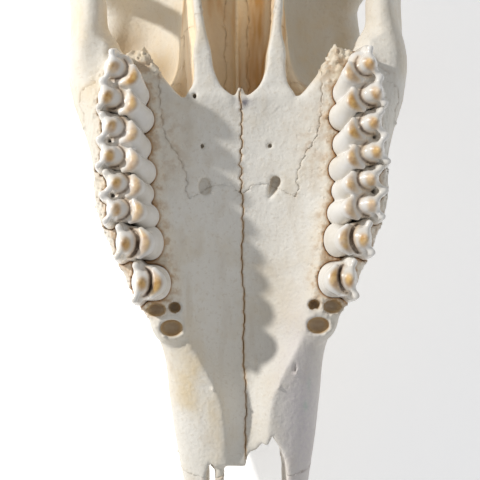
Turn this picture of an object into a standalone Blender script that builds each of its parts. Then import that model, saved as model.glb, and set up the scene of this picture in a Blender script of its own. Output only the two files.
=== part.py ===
"""Bushbuck skull without its lower jaw, life size, lying on its forehead with the palate up.

The bones are one smoothly blended solid, worked out as a distance field in the head frame
and parted at its main sutures. The head frame is in millimetres: X to the side, Y from the
tip of the snout back to the nape, Z out of the palate, with Z = 0 on the rim of the palate.
"""
import math

import bmesh
import bpy
import numpy as np
from mathutils import Matrix

MM = 0.001

# Driving sizes of the skull, in millimetres.
NASAL_TIP = (31.0, -40.0)       # Y and Z of the front of the nasal bones
CHOANA_Y = 119.8                # back edge of the palate on the midline
TUBER_Y = 132.3                 # back end of the maxilla behind the last molar
SUTURE_GAP = 0.3
FACE_Y, FACE_SLOPE = 138.0, 17.0 / 70.0   # suture between face and forehead: Y at Z = 0, change with Z
CORONAL_Y = 167.0                         # suture between forehead and braincase
BAR_Z = -45.2                             # suture across the bar behind the orbit
REST_TILT = 16.7                # degrees: the skull lies on the forehead and the tips of the nasal bones
REST_LEVEL = 30.5               # from the origin of the head frame down to the floor, after the tilt
REST_SHIFT = 110.9              # from the tip of the snout back to the middle of the length, after the tilt
CELL = 0.9                      # grid step of the surface
TRIANGLES = 9500                # of the whole surface, before it is parted

# The snout and cheeks, one row for each station along Y:
# Y, half width, Z of the widest level, ventral Z, dorsal Z, ventral power, dorsal power.
SNOUT = np.array([
    (0.0, 5.0, -6.5, -4.6, -9.5, 2.0, 2.0),
    (2.0, 8.6, -6.8, -3.8, -13.5, 2.0, 2.0),
    (5.0, 11.0, -7.3, -3.3, -20.0, 2.0, 2.0),
    (9.0, 13.2, -8.0, -3.2, -26.0, 2.0, 2.0),
    (16.0, 14.8, -9.0, -3.2, -34.0, 2.0, 2.0),
    (25.0, 16.4, -10.0, -3.0, -39.5, 2.2, 2.0),
    (33.0, 17.8, -10.5, -2.6, -42.0, 2.3, 2.0),
    (43.0, 19.1, -10.5, -1.8, -44.5, 2.5, 1.9),
    (57.0, 21.2, -9.5, -0.8, -48.5, 3.2, 1.8),
    (64.0, 24.4, -8.5, -0.2, -50.5, 3.6, 1.75),
    (72.0, 28.8, -8.5, 0.0, -52.5, 4.0, 1.7),
    (82.0, 33.6, -8.5, 0.0, -55.0, 4.3, 1.65),
    (91.0, 36.8, -9.0, 0.0, -57.0, 4.5, 1.65),
    (100.0, 37.6, -10.0, 0.0, -58.8, 4.5, 1.7),
    (110.0, 37.0, -12.0, 0.0, -61.0, 4.5, 1.8),
    (122.0, 36.6, -15.0, -0.4, -63.0, 4.0, 2.0),
    (134.0, 33.0, -18.0, -1.5, -61.0, 4.0, 2.0),
])


def smooth_min(a, b, reach):
    """Union of two fields with a fillet about reach / 2 wide."""
    overlap = np.maximum(reach - np.abs(a - b), 0.0) / reach
    return np.minimum(a, b) - overlap * overlap * reach * 0.25


def smooth_max(a, b, reach):
    return -smooth_min(-a, -b, reach)


def curve_through(t, places, values):
    """Smooth curve through the given values, with no overshoot worth the name."""
    places, values = np.asarray(places, float), np.asarray(values, float)
    slopes = np.gradient(values, places)
    i = np.clip(np.searchsorted(places, t) - 1, 0, len(places) - 2)
    step = places[i + 1] - places[i]
    u = np.clip((t - places[i]) / step, 0.0, 1.0)
    a, b = values[i], values[i + 1]
    return (
        a * (1 + 2 * u) * (1 - u) ** 2
        + slopes[i] * step * u * (1 - u) ** 2
        + b * u * u * (3 - 2 * u)
        - slopes[i + 1] * step * u * u * (1 - u)
    )


def ellipsoid(p, centre, radii, turn=(0.0, 0.0, 0.0)):
    """Field of an ellipsoid, turned by degrees about X, Y and Z."""
    q = p - np.array(centre)
    if any(turn):
        euler = Matrix.Rotation(math.radians(turn[2]), 3, "Z")
        euler = euler @ Matrix.Rotation(math.radians(turn[1]), 3, "Y")
        euler = euler @ Matrix.Rotation(math.radians(turn[0]), 3, "X")
        q = q @ np.array(euler)
    q = q / np.array(radii)
    near = np.sqrt((q * q).sum(1)) + 1e-6
    slope = np.sqrt(((q / np.array(radii)) ** 2).sum(1)) + 1e-6
    return near * (near - 1.0) / slope


def only(p, near, shape):
    """A field that is worked out only near its shape, and far off it is just far."""
    field = np.full(len(p), 50.0)
    if near.any():
        field[near] = shape(p[near])
    return field


def bent(points, radii, steps):
    """A chain of rods made finer, along a smooth curve through its points."""
    points = np.array(points, float)
    length = np.concatenate([[0.0], np.cumsum(np.linalg.norm(np.diff(points, axis=0), axis=1))])
    at = np.linspace(0.0, length[-1], steps)
    middle = np.stack([curve_through(at, length, row) for row in points.T], 1)
    return middle, curve_through(at, length, radii)


def strut(p, points, radii, stretch=(1.0, 1.0, 1.0)):
    """Field of a chain of tapering rods, with its round section stretched along the axes."""
    stretch = np.array(stretch)
    q, chain = p / stretch, np.array(points) / stretch
    found = np.full(len(p), 1e9)
    for a, b, start, end in zip(chain, chain[1:], radii, radii[1:]):
        along = b - a
        t = np.clip((q - a) @ along / (along @ along), 0.0, 1.0)
        off = q - a - t[:, None] * along
        found = np.minimum(found, np.sqrt((off * off).sum(1)) - start - t * (end - start))
    return found * stretch.min()


def prism(p, outline, low, high):
    """Field of an upright prism over a plan outline, between two heights."""
    x, y = p[:, 0], p[:, 1]
    corners = np.array(outline)
    near = np.full(len(p), 1e9)
    inside = np.zeros(len(p), bool)
    for (ax, ay), (bx, by) in zip(corners, np.roll(corners, -1, axis=0)):
        ex, ey = bx - ax, by - ay
        t = np.clip(((x - ax) * ex + (y - ay) * ey) / (ex * ex + ey * ey), 0.0, 1.0)
        near = np.minimum(near, (x - ax - t * ex) ** 2 + (y - ay - t * ey) ** 2)
        crosses = (ay > y) != (by > y)
        inside ^= crosses & (x < (bx - ax) * (y - ay) / (by - ay + 1e-12) + ax)
    side = np.sqrt(near) * np.where(inside, -1.0, 1.0)
    return np.maximum(side, np.maximum(low - p[:, 2], p[:, 2] - high))


def snout(p):
    x, y, z = np.abs(p[:, 0]), p[:, 1], p[:, 2]
    width, widest, ventral, dorsal, power_v, power_d = (
        curve_through(y, SNOUT[:, 0], SNOUT[:, i]) for i in range(1, 7)
    )
    below = z > widest
    height = np.where(below, ventral - widest, widest - dorsal)
    power = np.where(below, power_v, power_d)
    ring = (x / width) ** power + (np.abs(z - widest) / height) ** power
    side = (ring ** (1 / power) - 1.0) * np.minimum(width, height)
    return np.maximum(side, np.maximum(SNOUT[0, 0] - y, y - SNOUT[-1, 0]))


# Palate: Y, half width between the tooth rows or the ridges in front of them, depth of the vault.
PALATE = np.array([
    (10.0, 7.5, 3.0), (20.0, 8.5, 4.5), (27.0, 7.6, 5.5), (35.0, 6.6, 6.5), (43.0, 7.3, 8.0),
    (50.0, 10.5, 9.0), (57.0, 14.5, 9.5), (64.0, 16.2, 9.4), (74.0, 18.4, 8.6), (84.0, 20.0, 7.2),
    (97.0, 21.2, 5.4), (110.0, 21.8, 4.0), (121.0, 22.2, 3.0),
])
# Side plates of the choana: Y, inner X, outer X, Z of the free edge.
PLATES = np.array([
    (112.0, 2.0, 13.6, -6.0), (117.0, 3.0, 14.0, -3.6), (120.0, 3.2, 13.3, -3.0), (122.5, 5.0, 12.1, -3.0),
    (126.0, 6.5, 11.6, -3.3), (131.5, 7.3, 11.7, -4.0), (136.0, 8.3, 10.9, -5.0),
    (143.0, 9.3, 11.4, -7.0), (150.0, 9.8, 12.0, -10.0), (158.0, 10.0, 12.6, -17.0),
    (166.0, 9.5, 13.0, -28.0),
])
# Free space behind the palate and beside the choana, open to the orbit: plan outline of one side.
FOSSA = [
    (13.4, 118.0), (16.3, 120.7), (20.3, 125.6), (22.3, 128.4), (23.6, TUBER_Y), (29.0, 131.0),
    (33.4, 132.0), (33.0, 136.0), (32.2, 138.6), (34.4, 142.0), (36.3, 146.0), (38.2, 155.0),
    (38.2, 164.0), (31.0, 168.0), (27.0, 160.0), (21.0, 153.0), (13.0, 147.0), (11.0, 138.0),
    (11.6, 128.0),
]
# Openings of the palate behind the front teeth, broken open on the right side.
FISSURE_RIGHT = [
    (-0.2, 25.8), (0.1, 27.9), (0.9, 29.4), (2.4, 29.9), (4.0, 31.7), (5.3, 31.0), (6.5, 33.5),
    (8.6, 30.2), (9.9, 26.6), (10.4, 21.5), (9.8, 14.0), (7.6, 9.0), (4.0, 7.0), (-0.2, 7.0),
]
FISSURE_LEFT = [
    (0.0, 25.8), (-6.1, 26.3), (-8.0, 26.0), (-9.3, 27.0), (-10.3, 24.5), (-10.4, 21.5),
    (-9.8, 14.0), (-7.6, 9.0), (-4.0, 7.0), (0.0, 7.0),
]
CROWN = 10.0                    # height of the cusps over the rim of the palate
# Lobes of the cheek teeth from front to back: outer cusp X, Y; foot of the inner wall X, Y; half length.
LOBES = [
    ((25.9, 72.9), (18.2, 72.0), 4.9), ((29.0, 82.7), (19.8, 82.0), 4.7),
    ((31.2, 91.1), (20.8, 88.6), 3.6), ((31.0, 97.5), (22.0, 94.2), 3.5),
    ((32.6, 104.3), (21.4, 99.6), 3.7), ((32.0, 111.5), (22.5, 105.8), 3.7),
    ((32.8, 118.8), (21.7, 112.8), 3.8), ((31.2, 126.0), (22.8, 118.8), 3.7),
]
# Upright folds on the outer side of the teeth, at the ends and middle of each molar: X, Y.
STYLES = [
    (28.2, 68.6), (27.6, 76.4), (31.9, 79.5), (31.4, 86.2), (34.6, 88.0), (35.3, 94.4), (34.4, 100.4),
    (36.2, 101.8), (35.6, 108.2), (35.0, 114.2), (35.8, 116.0), (34.4, 122.6), (32.4, 129.6),
]
SOCKETS = [  # empty sockets of the second premolar on one side: X, Y, radius along X and along Y
    (18.4, 61.3, 2.9, 2.2), (17.6, 66.4, 1.7, 1.5), (22.0, 66.0, 2.6, 1.8),
]


def nasal_cavity(p):
    return strut(
        p,
        [(0, -8, -14), (0, 10, -18), (0, 25, -22.5), (0, 40, -26), (0, 58, -28), (0, 76, -28)],
        [7.5, 9.6, 11.6, 12.4, 12.0, 6.0],
        stretch=(1.0, 1.0, 1.12),
    )


def nasal_opening(p):
    """Everything above the rim of the nose opening, but for the nasal bones that overhang it."""
    x, y, z = p[:, 0], p[:, 1], p[:, 2]
    rim = curve_through(y, [-6, 4, 12, 20, 28, 36, 44, 52], [-8, -10.5, -15, -20, -25.5, -31, -38, -48])
    half = curve_through(y, [26, 34, 46, 60], [4.5, 7.0, 8.2, 9.0])
    tip = NASAL_TIP[0] - 5.0 + 1.3 * np.abs(x - 3.0) - y
    nasals = np.maximum(x - half, tip)
    return np.maximum(np.maximum(z - rim, y - 50.0), -nasals)


def orbit(p):
    return ellipsoid(p, (38.0, 141.0, -43.5), (20.5, 19.0, 19.0))


def face(p):
    """Snout, cheeks and forehead with the orbits and the spaces behind the palate cut out."""
    back = p[:, 1] > 100.0
    dome = smooth_min(
        ellipsoid(p, (0, 152, -49), (36.0, 38, 24.5)), ellipsoid(p, (0, 144, -57.5), (36.0, 22, 12.0)), 6.0
    )
    brain = ellipsoid(p, (0, 176.5, -43.8), (29.7, 34.5, 27.0))
    bone = smooth_max(snout(p), -nasal_cavity(p), 1.0)
    bone = smooth_max(bone, -nasal_opening(p), 1.0)
    bone = smooth_min(bone, dome, 14.0)
    bone = smooth_min(bone, brain, 12.0)
    bone = smooth_max(bone, -ellipsoid(p, (43, 176, -52), (13.5, 16, 34)), 5.0)
    bone = smooth_max(bone, -orbit(p), 2.5)
    bone = smooth_max(bone, -only(p, back, lambda q: prism(q, FOSSA, -38.0, 30.0)), 3.0)
    bone = smooth_max(bone, -ellipsoid(p, (26, 147.5, -37.5), (15, 25, 22)), 3.0)
    bone = smooth_max(bone, -ellipsoid(p, (43.5, 106, -40), (9.5, 16, 10)), 6.0)
    core = ellipsoid(p, (0, 139, -43), (14, 30, 22))
    bone = smooth_min(bone, core, 6.0)
    behind = [(-1, CHOANA_Y), (2.5, CHOANA_Y - 0.2), (14, CHOANA_Y), (14, 175), (-1, 175)]
    return smooth_max(bone, -only(p, back, lambda q: prism(q, behind, -28.0, 30.0)), 2.0)


def palate(p, bone):
    """Vaults the palate and cuts the nasal passage above it."""
    x, y, z = p[:, 0], p[:, 1], p[:, 2]
    margin = curve_through(y, PALATE[:, 0], PALATE[:, 1])
    depth = curve_through(y, PALATE[:, 0], PALATE[:, 2])
    top = -depth * np.clip(1.0 - (x / margin) ** 2, 0.0, 1.0) ** 0.9
    vault = np.where(y < 124.0, z - top, -5.0)
    bone = smooth_max(bone, vault, 1.5)
    passage = strut(p, [(0, 98, -15), (0, 112, -15.5), (0, 160, -15.0)], [5.0, 7.0, 8.0], (1.0, 1.0, 1.4))
    return smooth_max(bone, -passage, 1.5)


def plates(p):
    x, y, z = p[:, 0], p[:, 1], p[:, 2]
    inner, outer, edge = (curve_through(y, PLATES[:, 0], PLATES[:, i]) for i in (1, 2, 3))
    sheet = np.maximum(inner - x, x - outer)
    ends = np.maximum(PLATES[0, 0] - y, y - PLATES[-1, 0])
    return smooth_max(np.maximum(sheet, ends), np.maximum(z - edge, -33.0 - z), 1.0)


def cheek(p):
    """Zygomatic arch, rim of the orbit and the bar behind it."""
    arch = bent(
        [(30.5, 104, -12), (33.8, 110, -13.5), (36.0, 114.3, -15), (38.5, 119.4, -16.2), (39.5, 124, -17),
         (39.8, 131, -18), (38.0, 143, -19.5), (39.2, 155, -21), (39.8, 166, -22.5), (37.5, 175, -25),
         (31.0, 182, -28)],
        [4.2, 4.2, 4.2, 4.2, 4.2, 4.2, 4.0, 3.5, 3.2, 3.4, 4.5], 24,
    )
    rim = bent(
        [(34.0, 120.8, -40), (33.6, 124, -52), (34.4, 132, -60), (34.6, 142, -62), (33.2, 151, -61),
         (39.0, 158, -54), (42.6, 160.5, -42), (42.4, 157, -30), (40.6, 148, -25), (40.4, 138, -24),
         (38.8, 128.5, -26.5), (36.0, 122.6, -32.5), (34.0, 120.8, -40), (33.6, 124, -52)],
        [2.2, 2.2, 2.5, 2.6, 2.6, 3.0, 3.0, 3.2, 3.2, 3.0, 2.8, 2.4, 2.2, 2.2], 34,
    )
    floor = ellipsoid(p, (36.5, 129.5, -19.5), (6.5, 9.0, 6.5))
    return smooth_min(smooth_min(strut(p, *arch, (1.0, 1.0, 1.6)), strut(p, *rim), 5.0), floor, 4.0)


def skull_base(p):
    """Bar under the braincase, ear region, jaw sockets and the hinge on the neck."""
    bar = strut(
        p, [(0, 135, -36), (0, 152, -27), (0, 170, -20), (0, 190, -17), (0, 202, -19)],
        [6.5, 6.0, 6.5, 8.0, 9.0], (1.15, 1.0, 1.0),
    )
    bone = smooth_min(bar, ellipsoid(p, (0, 202, -39), (26, 9.5, 22), (-8, 0, 0)), 6.0)
    bone = smooth_min(bone, ellipsoid(p, (32, 177.5, -26), (11, 8.5, 5.5)), 4.0)
    bone = smooth_min(bone, ellipsoid(p, (19.5, 184, -16.5), (7.2, 12.5, 10.0), (0, 0, 12)), 2.0)
    bone = smooth_min(bone, strut(p, [(22, 187, -24), (33, 190, -30)], [5.5, 4.2]), 3.0)
    horn = bent(
        [(24, 197, -34), (25.5, 201, -24), (25.3, 203.5, -14), (23.6, 205, -6)],
        [6.0, 4.2, 2.8, 1.7], 8,
    )
    bone = smooth_min(bone, strut(p, *horn), 4.0)
    condyle = bent(
        [(5.0, 208.5, -15.0), (9.5, 211, -21), (12.5, 210, -28), (12.5, 205.5, -34)],
        [4.0, 5.4, 5.2, 3.6], 8,
    )
    return smooth_min(bone, strut(p, *condyle), 2.5)


def crests(p):
    """Ridge of the nape."""
    nape = bent(
        [(-4, 208, -59.5), (4, 208, -59.5), (15, 206.5, -56.5), (24, 202.5, -49), (29, 197, -40),
         (33, 184, -31)],
        [3.0, 3.0, 2.6, 2.4, 2.6, 2.6], 18,
    )
    return smooth_min(strut(p, *nape), ellipsoid(p, (0, 209, -55), (4, 4, 5)), 3.0)


def lobe(p, buccal, lingual, half):
    """One lobe of a cheek tooth: a tall outer cusp and a leaning inner wall."""
    (bx, by), (lx, ly) = buccal, lingual
    cx, cy = bx + 0.5 * (lx - bx), by + 0.42 * (ly - by)
    wide = half / 3.6
    outer = strut(
        p, [(bx + 0.4, by, -4), (bx - 0.2, by, 4), (bx - 0.9, by, CROWN - 0.6)],
        [3.7, 3.5, 2.0], (1.0, wide, 1.0),
    )
    inner = strut(
        p, [(lx + 4.4, ly + 0.8, -4), (lx + 3.5, ly + 0.6, 2), (cx, cy, CROWN - 2.6)],
        [3.6, 3.4, 2.2], (1.0, wide, 1.0),
    )
    return smooth_min(outer, inner, 1.2)


def teeth(p):
    """Third and fourth premolar and the three molars of one side."""
    rows = [lobe(p, buccal, lingual, half) for buccal, lingual, half in LOBES]
    for x, y in STYLES:
        fold = [(x - 1.4, y, -3), (x - 0.9, y, 4), (x - 0.3, y, CROWN - 2.2)]
        rows.append(strut(p, fold, [2.0, 1.7, 0.8]))
    whole = rows[0]
    for row in rows[1:]:
        whole = smooth_min(whole, row, 0.9)
    return whole


def skull(points):
    """Field of the whole skull with its teeth, in the head frame."""
    p = points.copy()
    p[:, 0] = np.abs(p[:, 0])
    x, y, z = p.T
    bone = palate(p, face(p))
    bone = smooth_min(bone, only(p, (y > 100) & (y < 178) & (z > -48), plates), 2.5)
    bone = smooth_min(bone, ellipsoid(p, (18.8, 63.5, -2.6), (4.6, 6.2, 3.0)), 2.0)
    bone = smooth_min(bone, only(p, (x > 16) & (y > 88), cheek), 4.0)
    bone = smooth_min(bone, only(p, y > 116, skull_base), 5.0)
    bone = smooth_min(bone, only(p, y > 168, crests), 4.0)
    canal = strut(p, [(0, 222, -33), (0, 198, -32), (0, 190, -34)], [9.0, 8.5, 4.0])
    bone = smooth_max(bone, -canal, 1.5)
    meatus = strut(p, [(40, 191, -32), (27, 188.5, -27)], [3.0, 2.2])
    bone = smooth_max(bone, -meatus, 1.0)
    for sx, sy, across, along in SOCKETS:
        bone = smooth_max(bone, -ellipsoid(p, (sx, sy, -1.0), (across, along, 6.0)), 0.6)
    bone = smooth_min(bone, only(p, (x > 10) & (x < 46) & (y > 56) & (y < 140) & (z > -14), teeth), 0.8)
    front = y < 45
    bone = smooth_max(bone, -only(points, front, lambda q: prism(q, FISSURE_RIGHT, -14.0, 5.0)), 0.8)
    bone = smooth_max(bone, -only(points, front, lambda q: prism(q, FISSURE_LEFT, -14.0, 5.0)), 0.8)
    prong = strut(points, [(-6.9, 29, -6.0), (-6.9, 22, -6.2), (-4.5, 12, -6.5), (-3.0, 6, -6.5)],
                  [1.2, 1.1, 1.2, 1.5])
    return smooth_min(bone, prong, 1.5)


def one_sheet():
    """For each of the 256 ways to fill the corners of a cell: whether one single sheet crosses it."""
    corners = [(i >> 2 & 1, i >> 1 & 1, i & 1) for i in range(8)]
    beside = [[j for j in range(8) if sum(a != b for a, b in zip(c, corners[j])) == 1] for c in corners]
    good = np.ones(256, bool)
    for case in range(256):
        for side in (0, 1):
            group = [i for i in range(8) if (case >> i & 1) == side]
            reached = set(group[:1])
            for _ in range(8):
                reached |= {j for i in reached for j in beside[i] if j in group}
            good[case] &= len(reached) == len(group)
    return good


def settle(value):
    """Fills the few cells that two sheets would cross, so that the mesh closes cleanly."""
    good = one_sheet()
    windows = []
    for i in range(8):
        shift = (i >> 2 & 1, i >> 1 & 1, i & 1)
        windows.append(tuple(slice(s, n - 1 + s) for s, n in zip(shift, value.shape)))
    for _ in range(30):
        case = np.zeros([n - 1 for n in value.shape], int)
        for i, window in enumerate(windows):
            case |= (value[window] < 0).astype(int) << i
        bad = ~good[case]
        if not bad.any():
            break
        for window in windows:
            value[window][bad] = np.minimum(value[window][bad], -0.02)
    return value


def sample(field, low, counts, cell, block=6):
    """Field values on a grid, worked out only in the blocks that the surface may cross."""
    low = np.array(low)
    blocks = [int(np.ceil(n / block)) for n in counts]
    index = np.stack(np.meshgrid(*[np.arange(n) for n in blocks], indexing="ij"), -1).reshape(-1, 3)
    centre = field(low + cell * block * (index + 0.5))
    value = np.repeat(np.repeat(np.repeat(centre.reshape(blocks), block, 0), block, 1), block, 2)
    near = index[np.abs(centre) < 1.7 * block * cell + 1.0]
    step = np.stack(np.meshgrid(*[np.arange(block)] * 3, indexing="ij"), -1).reshape(-1, 3)
    for part in np.array_split(near, max(1, len(near) // 900)):
        cells = (part[:, None, :] * block + step[None]).reshape(-1, 3)
        value[tuple(cells.T)] = field(low + cell * cells)
    return value[: counts[0], : counts[1], : counts[2]]


def surface(field, low, high, cell):
    """Mesh of the zero level of a field: one vertex in each cell that it crosses."""
    counts = [int((b - a) / cell) + 2 for a, b in zip(low, high)]
    value = settle(sample(field, low, counts, cell))
    inside = value < 0
    nx, ny, nz = counts
    total = np.zeros((nx - 1, ny - 1, nz - 1, 3))
    crossings = np.zeros((nx - 1, ny - 1, nz - 1))
    for axis in range(3):
        others = [a for a in range(3) if a != axis]
        first = [slice(None)] * 3
        last = [slice(None)] * 3
        first[axis], last[axis] = slice(0, -1), slice(1, None)
        a, b = value[tuple(first)], value[tuple(last)]
        cross = (a < 0) != (b < 0)
        share = np.where(cross, a / np.where(cross, a - b, 1.0), 0.0)
        for i in (0, 1):
            for j in (0, 1):
                window = [slice(None)] * 3
                window[others[0]] = slice(i, i + counts[others[0]] - 1)
                window[others[1]] = slice(j, j + counts[others[1]] - 1)
                hit = cross[tuple(window)]
                offset = np.zeros(hit.shape + (3,))
                offset[..., axis] = share[tuple(window)]
                offset[..., others[0]] = i
                offset[..., others[1]] = j
                total += offset * hit[..., None]
                crossings += hit
    cells = np.argwhere(crossings > 0)
    index = np.full(crossings.shape, -1)
    index[tuple(cells.T)] = np.arange(len(cells))
    at = tuple(cells.T)
    points = np.array(low) + cell * (cells + total[at] / crossings[at][:, None])
    quads = []
    for axis in range(3):
        u, v = (axis + 1) % 3, (axis + 2) % 3
        first = [slice(1, -1)] * 3
        last = [slice(1, -1)] * 3
        first[axis], last[axis] = slice(0, -1), slice(1, None)
        a, b = inside[tuple(first)], inside[tuple(last)]
        edges = np.argwhere(a != b)
        outward = a[tuple(edges.T)]
        edges[:, u] += 1
        edges[:, v] += 1
        around = []
        for du, dv in ((0, 0), (-1, 0), (-1, -1), (0, -1)):
            corner = edges.copy()
            corner[:, u] += du
            corner[:, v] += dv
            around.append(index[tuple(corner.T)])
        quad = np.stack(around, 1)
        quads.append(np.where(outward[:, None], quad, quad[:, ::-1]))
    return points, np.concatenate(quads)


def mesh_of(name, points, faces):
    mesh = bpy.data.meshes.new(name)
    mesh.from_pydata([tuple(c) for c in points], [], [tuple(int(i) for i in f) for f in faces])
    mesh.validate()
    return mesh


def helper(name, points, faces):
    """A cutter, kept out of the part."""
    thing = bpy.data.objects.new(name, mesh_of(name, np.array(points) * MM, faces))
    bpy.data.collections["cutters"].objects.link(thing)
    thing.hide_render = True
    thing.display_type = "WIRE"
    return thing


def tube(name, rings):
    """A closed cutter through rings of corners, each ring running the same way round."""
    n = len(rings[0])
    points = [corner for ring in rings for corner in ring]
    faces = [tuple(range(n)), tuple(reversed(range(len(points) - n, len(points))))]
    for k in range(len(rings) - 1):
        for i in range(n):
            a, b = k * n + i, k * n + (i + 1) % n
            faces.append((b, a, a + n, b + n))
    thing = helper(name, points, faces)
    mesh = bmesh.new()
    mesh.from_mesh(thing.data)
    bmesh.ops.recalc_face_normals(mesh, faces=mesh.faces)
    mesh.to_mesh(thing.data)
    mesh.free()
    return thing


def slab(name, start, end, sides, thick=SUTURE_GAP):
    """A thin plate seen edge on from the side, from (Y, Z) to (Y, Z), between two values of X."""
    (ya, za), (yb, zb) = start, end
    length = math.hypot(yb - ya, zb - za)
    oy, oz = -(zb - za) / length * thick / 2, (yb - ya) / length * thick / 2
    ring = [(ya + oy, za + oz), (yb + oy, zb + oz), (yb - oy, zb - oz), (ya - oy, za - oz)]
    return tube(name, [[(x, y, z) for y, z in ring] for x in sides])


def nasal_trough(name, grow):
    """The space that the nasal bones fill, grown by half a gap or shrunk by it."""
    rings = []
    places = [18.0, 34.0, 48.0, 66.0, 84.0, 100.0, 110.0, 116.0]
    halves = [7.5, 8.4, 8.8, 9.2, 9.4, 9.0, 7.0, 3.0]
    depths = [9.0, 9.0, 5.0, 3.2, 3.2, 3.2, 3.2, 3.2]
    for y, half, depth in zip(places, halves, depths):
        roof = float(curve_through(np.array([y]), SNOUT[:, 0], SNOUT[:, 4])[0])
        low = roof + depth + grow
        at = y + (grow if y == places[-1] else 0.0)
        wide = half + grow
        rings.append([(-wide, at, roof - 12), (-wide, at, low), (wide, at, low), (wide, at, roof - 12)])
    return tube(name, rings)


def boolean(source, cutter, operation):
    """A new mesh object made from two closed ones."""
    change = source.modifiers.new("cut", "BOOLEAN")
    change.operation = operation
    change.object = cutter
    change.solver = "EXACT"
    mesh = bpy.data.meshes.new_from_object(source.evaluated_get(bpy.context.evaluated_depsgraph_get()))
    source.modifiers.remove(change)
    made = bpy.data.objects.new(source.name, mesh)
    bpy.data.collections["cutters"].objects.link(made)
    made.hide_render = True
    made.display_type = "WIRE"
    return made


def pieces(source):
    """Closed surfaces of an object with their volume and middle, in millimetres."""
    whole = bmesh.new()
    whole.from_mesh(source.data)
    bmesh.ops.triangulate(whole, faces=whole.faces)
    whole.verts.ensure_lookup_table()
    seen = np.zeros(len(whole.verts), bool)
    found = []
    for start in whole.verts:
        if seen[start.index]:
            continue
        seen[start.index] = True
        stack, group = [start], []
        while stack:
            vert = stack.pop()
            group.append(vert.index)
            for edge in vert.link_edges:
                other = edge.other_vert(vert)
                if not seen[other.index]:
                    seen[other.index] = True
                    stack.append(other)
        faces = {face.index: face for i in group for face in whole.verts[i].link_faces}
        order = {index: k for k, index in enumerate(group)}
        points = np.array([whole.verts[i].co[:] for i in group]) / MM
        tris = np.array([[order[v.index] for v in face.verts] for face in faces.values()])
        a, b, c = (points[tris[:, i]] for i in range(3))
        volumes = np.einsum("ij,ij->i", a, np.cross(b, c)) / 6.0
        volume = volumes.sum()
        middle = ((a + b + c) / 4.0 * volumes[:, None]).sum(0) / volume if volume else points.mean(0)
        found.append((volume, middle, points, tris))
    whole.free()
    return found


# Colour of each bone, without its side.
COLOURS = {
    "premaxilla": (0.80, 0.76, 0.68), "nasal": (0.82, 0.78, 0.70), "maxilla": (0.79, 0.75, 0.67),
    "zygomatic": (0.80, 0.74, 0.65), "frontal": (0.76, 0.69, 0.58), "braincase": (0.78, 0.72, 0.62),
}
BONE_ROUGHNESS = 0.6


def material(name, colour, roughness):
    made = bpy.data.materials.new(name)
    made.use_nodes = True
    shader = made.node_tree.nodes["Principled BSDF"]
    shader.inputs["Base Color"].default_value = (*colour, 1.0)
    shader.inputs["Roughness"].default_value = roughness
    return made


def bone_name(middle, nasal):
    """Name of the bone whose middle lies at a place in the head frame."""
    side = "right" if middle[0] > 0 else "left"
    x, y, z = abs(middle[0]), middle[1], middle[2]
    if nasal:
        return "nasal_" + side
    if y > CORONAL_Y:
        return "braincase"
    if y < 30.0:
        return "premaxilla_" + side
    if y > FACE_Y + z * FACE_SLOPE:
        return "zygomatic_" + side if x > 25.0 else "frontal"
    return "maxilla_" + side


def place(name, points, tris, frame):
    """One bone as an object, its mesh in the head frame and its parent turned to the rest position."""
    bone = bpy.data.objects.new(name, mesh_of(name, points * MM, tris))
    bpy.data.collections["bushbuck_skull"].objects.link(bone)
    bone.parent = frame
    bone.data.shade_smooth()
    bone.data.set_sharp_from_angle(angle=math.radians(40.0))
    kind = name.split("_")[0]
    bone.data.materials.append(material(name + "_bone", COLOURS[kind], BONE_ROUGHNESS))


def whole_skull():
    """The skull in one piece, its surface thinned to fewer triangles."""
    points, quads = surface(skull, (-52, -6, -84), (52, 224, 14), CELL)
    whole = helper("whole", points, quads)
    change = whole.modifiers.new("fewer", "DECIMATE")
    change.ratio = TRIANGLES / (2.0 * len(quads))
    change.use_collapse_triangulate = True
    mesh = bpy.data.meshes.new_from_object(whole.evaluated_get(bpy.context.evaluated_depsgraph_get()))
    whole.modifiers.remove(change)
    whole.data = mesh
    return whole


def floor_box():
    """Everything under the floor that the skull lies on."""
    tilt = math.radians(REST_TILT)
    middle = -(REST_LEVEL + 10.0)
    ends = [
        (math.cos(tilt) * t + math.sin(tilt) * middle, -math.sin(tilt) * t + math.cos(tilt) * middle)
        for t in (-40.0, 270.0)
    ]
    return slab("floor", ends[0], ends[1], (-70, 70), 20.0)


def suture_cutters():
    """Thin plates where the bones meet."""
    def on_face(z):
        return (FACE_Y + z * FACE_SLOPE, z)

    half = SUTURE_GAP / 2
    outline = [(-12, 20), (-12, -90), on_face(-90), on_face(20)]
    median = tube("median", [[(x, y, z) for y, z in outline] for x in (-half, half)])
    return median, [
        slab("face", on_face(-85), on_face(20), (-60, 60)),
        slab("front", (15.5, 10), (47.5, -48), (-60, 60)),
        slab("coronal", (CORONAL_Y + 1, -90), (CORONAL_Y - 1, 10), (-60, 60)),
        slab("bar_left", (150, BAR_Z), (168, BAR_Z), (-55, -34)),
        slab("bar_right", (150, BAR_Z), (168, BAR_Z), (34, 55)),
        median,
    ]


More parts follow.
